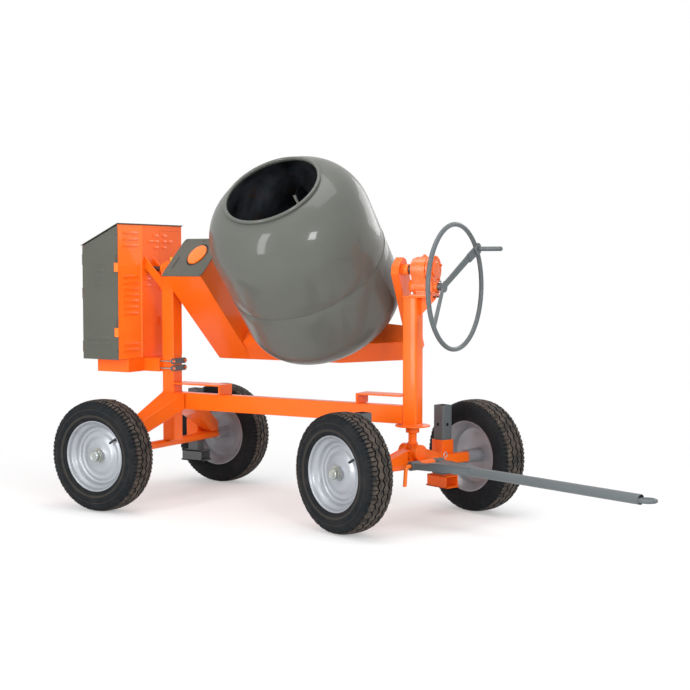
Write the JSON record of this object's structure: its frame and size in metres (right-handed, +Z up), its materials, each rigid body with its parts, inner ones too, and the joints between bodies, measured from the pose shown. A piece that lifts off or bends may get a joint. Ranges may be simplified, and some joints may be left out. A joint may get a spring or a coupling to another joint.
{
  "type": "concrete mixer",
  "caption": "Towable tilting-drum concrete mixer: grey drum in an orange cradle between two posts, hand-wheel tilt, motor housing, steered axle and drawbar.",
  "frame": {"origin": "middle of the footprint, on the ground", "axes": "+X towards the drawbar end, +Y towards the far side (away from the drum mouth), +Z up"},
  "size_m": [3.3866, 1.287, 1.8905],
  "materials": {
    "orange": "gloss orange paint",
    "grey": "gloss dark grey paint",
    "steel_grey": "satin blue grey paint",
    "tyre": "black rubber",
    "silver": "silver wheel paint",
    "zinc": "zinc plated",
    "iron": "bare dark steel",
    "rubber": "black belt"
  },
  "bodies": {
    "chassis": {"main_beam": "orange", "rear_column": "orange", "front_column": "orange", "rear_axle": "orange", "rear_strut_near": "orange", "rear_strut_far": "orange", "fork_pocket_rear": "orange", "fork_pocket_front": "orange", "trunnion_bearing": "orange", "top_brace": "orange", "gearbox_case": "orange", "gearbox_cover": "orange", "housing_shell": "orange", "housing_roof": "grey", "housing_carrier": "orange", "housing_clamp_1": "steel_grey", "housing_clamp_2": "steel_grey", "motor": "grey", "drive_belt": "rubber"},
    "cradle": {"cradle_frame": "orange", "cradle_cover": "grey", "cradle_bottom_cover": "grey", "drum_bearing": "orange", "tilt_gear": "iron", "drive_chain": "iron"},
    "drum": {"drum_lower": "grey", "drum_upper": "grey", "drum_rim": "grey", "drum_axle": "iron", "drum_blade_1": "iron", "drum_blade_2": "iron"},
    "handwheel": {"handwheel": "steel_grey"},
    "crank_grip": {"crank_grip": "steel_grey"},
    "drive_shaft": {"drive_shaft": "iron"},
    "motor_pulley": {"motor_pulley": "iron"},
    "lay_shaft": {"lay_shaft": "iron"},
    "side_door": {"housing_door": "grey"},
    "front_flap": {"housing_flap": "orange"},
    "steering_head": {"steering_head": "orange"},
    "front_axle": {"front_axle": "orange", "hitch_bracket": "orange"},
    "drawbar": {"drawbar": "steel_grey"},
    "hitch_pin": {"hitch_pin": "orange"},
    "hitch_clip": {"hitch_clip": "zinc"},
    "wheel_rear_near": {"tyre_rear_near": "tyre", "rim_rear_near": "silver", "hub_cap_rear_near": "zinc"},
    "leg_rear_near": {"leg_rear_near": "steel_grey"},
    "wheel_rear_far": {"tyre_rear_far": "tyre", "rim_rear_far": "silver", "hub_cap_rear_far": "zinc"},
    "leg_rear_far": {"leg_rear_far": "steel_grey"},
    "wheel_front_near": {"tyre_front_near": "tyre", "rim_front_near": "silver", "hub_cap_front_near": "zinc"},
    "leg_front_near": {"leg_front_near": "steel_grey"},
    "wheel_front_far": {"tyre_front_far": "tyre", "rim_front_far": "silver", "hub_cap_front_far": "zinc"},
    "leg_front_far": {"leg_front_far": "steel_grey"}
  },
  "joints": [
    {"name": "cradle_tilt", "type": "hinge", "parent": "chassis", "child": "cradle", "pos_m": [-0.5023, 0, 1.297], "axis": [1, 0, 0], "range_deg": [-85, 80]},
    {"name": "drum_spin", "type": "hinge", "parent": "cradle", "child": "drum", "pos_m": [-0.3533, 0, 1.297], "axis": [0, -0.6691, 0.7431], "continuous": true},
    {"name": "handwheel_turn", "type": "hinge", "parent": "chassis", "child": "handwheel", "pos_m": [0.3827, 0, 1.2095], "axis": [1, 0, 0], "range_deg": [-140, 148]},
    {"name": "crank_spin", "type": "hinge", "parent": "handwheel", "child": "crank_grip", "pos_m": [0.5727, 0.24665, 1.4022], "axis": [1, 0, 0], "continuous": true},
    {"name": "drive_shaft_spin", "type": "hinge", "parent": "chassis", "child": "drive_shaft", "pos_m": [-1.3173, 0, 1.297], "axis": [1, 0, 0], "continuous": true},
    {"name": "motor_spin", "type": "hinge", "parent": "chassis", "child": "motor_pulley", "pos_m": [-1.4773, 0, 0.915], "axis": [1, 0, 0], "continuous": true},
    {"name": "lay_shaft_spin", "type": "hinge", "parent": "cradle", "child": "lay_shaft", "pos_m": [-0.8173, 0.36535, 0.89124], "axis": [1, 0, 0], "continuous": true},
    {"name": "side_door_hinge", "type": "hinge", "parent": "chassis", "child": "side_door", "pos_m": [-1.6873, -0.28, 1.15], "axis": [0, 0, -1], "range_deg": [0, 110]},
    {"name": "front_flap_hinge", "type": "hinge", "parent": "chassis", "child": "front_flap", "pos_m": [-1.4333, 0.1, 1.15], "axis": [0, 0, -1], "range_deg": [0, 100]},
    {"name": "steering", "type": "hinge", "parent": "chassis", "child": "steering_head", "pos_m": [0.2667, 0, 0.45], "axis": [0, 0, 1], "range_deg": [-25, 60]},
    {"name": "axle_swing", "type": "hinge", "parent": "steering_head", "child": "front_axle", "pos_m": [0.2667, 0, 0.36], "axis": [0.9438, -0.3305, 0], "range_deg": [-8, 8]},
    {"name": "drawbar_lift", "type": "hinge", "parent": "front_axle", "child": "drawbar", "pos_m": [0.36108, -0.03305, 0.308], "axis": [-0.3305, -0.9438, 0], "range_deg": [0, 55]},
    {"name": "hitch_pin_turn", "type": "hinge", "parent": "drawbar", "child": "hitch_pin", "pos_m": [0.36108, -0.03305, 0.308], "axis": [-0.3305, -0.9438, 0], "range_deg": [0, 110]},
    {"name": "hitch_clip_pull", "type": "slide", "parent": "hitch_pin", "child": "hitch_clip", "axis": [0, 0, 1], "range_m": [0, 0.05]},
    {"name": "wheel_rear_near_roll", "type": "hinge", "parent": "chassis", "child": "wheel_rear_near", "pos_m": [-1.3173, -0.5595, 0.3], "axis": [0, 1, 0], "continuous": true},
    {"name": "leg_rear_near_slide", "type": "slide", "parent": "chassis", "child": "leg_rear_near", "axis": [0, 0, 1], "range_m": [-0.138, 0.05]},
    {"name": "wheel_rear_far_roll", "type": "hinge", "parent": "chassis", "child": "wheel_rear_far", "pos_m": [-1.3173, 0.5595, 0.3], "axis": [0, 1, 0], "continuous": true},
    {"name": "leg_rear_far_slide", "type": "slide", "parent": "chassis", "child": "leg_rear_far", "axis": [0, 0, 1], "range_m": [-0.138, 0.05]},
    {"name": "wheel_front_near_roll", "type": "hinge", "parent": "front_axle", "child": "wheel_front_near", "pos_m": [0.11169, -0.44264, 0.3], "axis": [0.3305, 0.9438, 0], "continuous": true},
    {"name": "leg_front_near_slide", "type": "slide", "parent": "front_axle", "child": "leg_front_near", "axis": [0, 0, 1], "range_m": [-0.138, 0.05]},
    {"name": "wheel_front_far_roll", "type": "hinge", "parent": "front_axle", "child": "wheel_front_far", "pos_m": [0.42171, 0.44264, 0.3], "axis": [0.3305, 0.9438, 0], "continuous": true},
    {"name": "leg_front_far_slide", "type": "slide", "parent": "front_axle", "child": "leg_front_far", "axis": [0, 0, 1], "range_m": [-0.138, 0.05]}
  ],
  "couplings": [
    {"joint": "handwheel_turn", "follows": "cradle_tilt", "ratio": -1.6923},
    {"joint": "drive_shaft_spin", "follows": "drum_spin", "ratio": 2.7039},
    {"joint": "lay_shaft_spin", "follows": "drum_spin", "ratio": 2.4688},
    {"joint": "motor_spin", "follows": "drum_spin", "ratio": 11.225}
  ]
}
